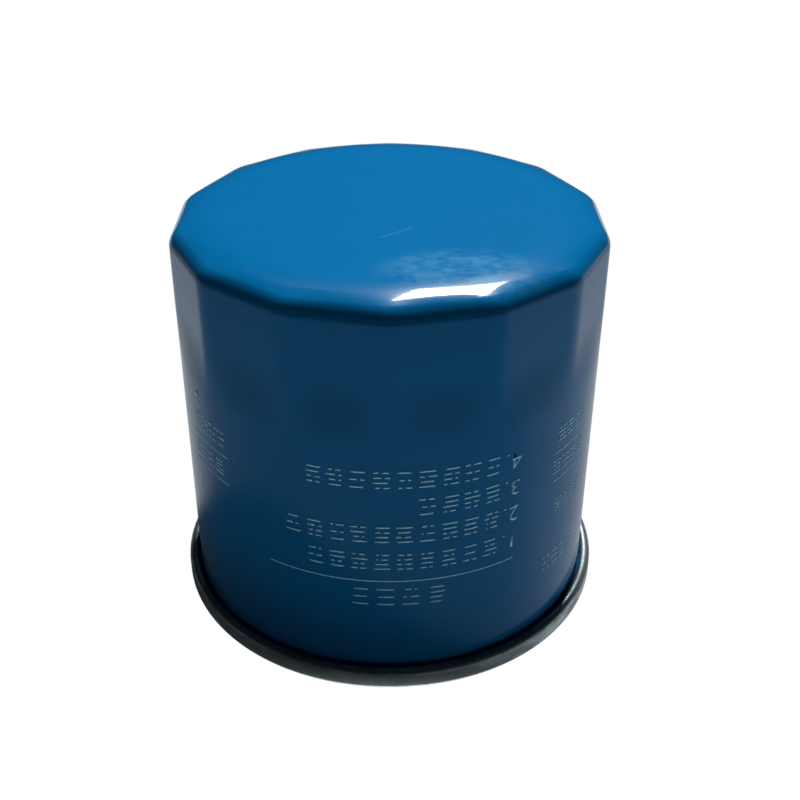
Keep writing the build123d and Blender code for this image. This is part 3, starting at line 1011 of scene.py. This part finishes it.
# %% The two springs
spring_low, spring_high = ends("support_spring")
support = coil(spring_low, spring_high, radius=11.0 * MM, rod=2.0 * MM, turns=2.6)
support_spring = piece(support, "lift_spring", spring_steel, "canister", ["support_spring"])
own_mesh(support_spring)
CAGE_SHEET = 0.5 * MM
POPPET_PLATE = 0.8 * MM
bypass_low = ends("bypass_cage")[0] + CAGE_SHEET
bypass_high = ends("bypass_poppet")[1] - POPPET_PLATE
relief = coil(bypass_low, bypass_high, radius=5.5 * MM, rod=1.0 * MM, turns=4.0)
bypass_spring = piece(relief, "relief_spring", spring_steel, "element", ["bypass_spring"])
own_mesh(bypass_spring)

# %% [markdown]
# ## The pleated paper
# The element is one strip of paper folded fifty-four times and closed into a ring by a steel clip. The
# strip is drawn from above as a zigzag wire with rounded folds, extruded to its height and then given the
# thickness of paper.

# %% Fold the paper
paper_low, paper_high = ends("filter_media")
tip_r = reach("filter_media", paper_low, paper_high) - 0.7 * MM
valley_r = reach("filter_media", paper_low, paper_high, inner=True) + 0.7 * MM
PLEATS = 54
PAPER = 0.6 * MM


def pleats():
    """The folded strip's middle, standing between the two layers of resin."""
    bm = bmesh.new()
    ring = []
    for i in range(2 * PLEATS):
        radius = tip_r if i % 2 == 0 else valley_r
        bearing = math.pi + math.pi / PLEATS * i
        ring.append(bm.verts.new((radius * math.cos(bearing), radius * math.sin(bearing), paper_low)))
    folds = [bm.edges.new(pair) for pair in zip(ring, ring[1:] + ring[:1])]
    print("folds", len(folds))
    for vertex in ring:
        round_corner(bm, vertex, 0.35 * MM, 3)
    raised = bmesh.ops.extrude_edge_only(bm, edges=bm.edges[:])["geom"]
    up = [v for v in raised if isinstance(v, bmesh.types.BMVert)]
    bmesh.ops.translate(bm, vec=(0.0, 0.0, paper_high - paper_low), verts=up)
    bmesh.ops.recalc_face_normals(bm, faces=bm.faces)
    return bm


media = piece(pleats(), "pleated_paper", media_paper, "element", ["filter_media"])
thicken(media, PAPER)

# %% [markdown]
# ## The print
# Fitting steps are screen-printed round the can in pale ink, and read the right way up when the filter
# hangs from its thread. The words are left out here. Each line is a row of small clusters of plain bars,
# so that it has the grain of print and says nothing, and only the numbers of the steps are real. The bars
# are laid out flat and then wrapped.

# %% Ink
def ink_finish():
    """Thin pale ink that lets some of the blue below it through, with a slightly uneven cover."""
    f = Finish("pale_ink")
    cover = f.noise(0.5 * MM, 4.0, 0.7, seed=12.0)
    return f.finish(
        Base_Color=f.blend(f.ramp(cover, 0.30, 0.62), (0.13, 0.44, 0.68), (0.30, 0.64, 0.84)),
        Roughness=0.5 + cover * 0.1,
        Specular_IOR_Level=0.15,
    )


ink = ink_finish()
draw = random.Random(7)
BAR = 0.36

# %% Bars, clusters and rules in the flat
def bar(bm, start, end, width=BAR):
    """A flat bar between two (along, height) points in millimetres, cut so that it can bend."""
    first = Vector((*start, 0.0)) * MM
    last = Vector((*end, 0.0)) * MM
    span = last - first
    place = Matrix.Translation((first + last) / 2) @ Matrix.Rotation(math.atan2(span.y, span.x), 4, "Z")
    place @= Matrix.Diagonal((span.length, width * MM, 1.0, 1.0))
    cuts = max(1, math.ceil(span.length / MM))
    bmesh.ops.create_grid(bm, x_segments=cuts, y_segments=1, size=0.5, matrix=place)


def cluster(bm, along, height, size):
    """A stack of short plain dashes, size millimetres square: the weight of a printed mark, no letter."""
    levels = draw.choice([3, 4, 4])
    for level in range(levels):
        z = height + size * (level / (levels - 1) - 0.5)
        left = along - size * draw.uniform(0.30, 0.5)
        right = along + size * draw.uniform(0.30, 0.5)
        if draw.random() < 0.45:
            gap = along + size * draw.uniform(-0.15, 0.15)
            bar(bm, (left, z), (gap - 0.25, z))
            bar(bm, (gap + 0.25, z), (right, z))
        else:
            bar(bm, (left, z), (right, z))


def numeral(bm, digit, along, height, size):
    """A printed step number, turned upside down as the filter stands on its thread."""
    curve = bpy.data.curves.new("numeral", "FONT")
    curve.body = digit
    curve.size = size * 1.35 * MM
    curve.align_x = "CENTER"
    curve.align_y = "CENTER"
    holder = bpy.data.objects.new("numeral", curve)
    bpy.context.scene.collection.objects.link(holder)
    bpy.context.view_layer.update()
    mesh = bpy.data.meshes.new_from_object(holder.evaluated_get(bpy.context.evaluated_depsgraph_get()))
    mesh.transform(Matrix.Translation((along * MM, height * MM, 0.0)) @ Matrix.Rotation(math.pi, 4, "Z"))
    bm.from_mesh(mesh)
    bpy.data.objects.remove(holder)
    bpy.data.meshes.remove(mesh)
    bpy.data.curves.remove(curve)


def wrap(bm, lift):
    """Roll a flat layout round the can: along becomes the way round from -Y, height becomes Z."""
    radius = body_r + lift
    for v in bm.verts:
        bearing = v.co.x / radius
        v.co = Vector((radius * math.sin(bearing), -radius * math.cos(bearing), v.co.y))


# %% Lay out the print
STEP_LINES = [("1", 27.7, -15.3), ("2", 33.3, -21.0), ("3", 38.7, 3.3), ("4", 44.1, -15.3)]
RIGHT_END = 22.4
MARK = 2.9
MARK_PITCH = 3.75
layout = bmesh.new()
for digit, height, left in STEP_LINES:
    numeral(layout, digit, RIGHT_END - 0.6, height, 3.2)
    bar(layout, (RIGHT_END - 2.6, height + 1.3), (RIGHT_END - 2.2, height + 1.3), 0.4)
    for i in range(int((RIGHT_END - 3.0 - left) / MARK_PITCH)):
        cluster(layout, RIGHT_END - 5.0 - i * MARK_PITCH, height, MARK)
for i in range(4):
    cluster(layout, -5.0 + i * 4.3, 20.2, 3.2)

# %% Rules, the side panels and an arrow
RULE = 0.28
RULES = [
    (-21.5, 22.3, 23.6),
    (-42.0, -30.3, 40.4),
    (-42.0, -30.3, 34.8),
    (31.0, 42.3, 41.0),
    (31.0, 42.3, 35.2),
]
for left, right, height in RULES:
    bar(layout, (left, height), (right, height), RULE)
SIDE_MARKS = [
    (-39.8, -31.8, 43.7, 2.6),
    (-41.0, -33.0, 37.6, 2.4),
    (32.0, 40.0, 38.1, 2.4),
    (33.0, 40.0, 44.5, 2.4),
    (33.5, 40.5, 29.5, 2.4),
    (31.2, 38.6, 17.8, 2.6),
]
for left, right, height, size in SIDE_MARKS:
    for i in range(4):
        cluster(layout, left + (right - left) * i / 3, height, size)
ARROW_TIP = (-39.1, 49.5)
for tail in ((-39.1, 46.3), (-40.1, 48.1), (-38.1, 48.1)):
    bar(layout, tail, ARROW_TIP)
wrap(layout, 0.005 * MM)
print("print has", len(layout.faces), "faces")

# %% Print it on the can
INK_THICKNESS = 0.015 * MM
printed = thicken(piece(layout, "printed_steps", ink, "canister"), INK_THICKNESS)
printed.modifiers["sheet"].offset = 1.0
printed.modifiers["sheet"].use_even_offset = False
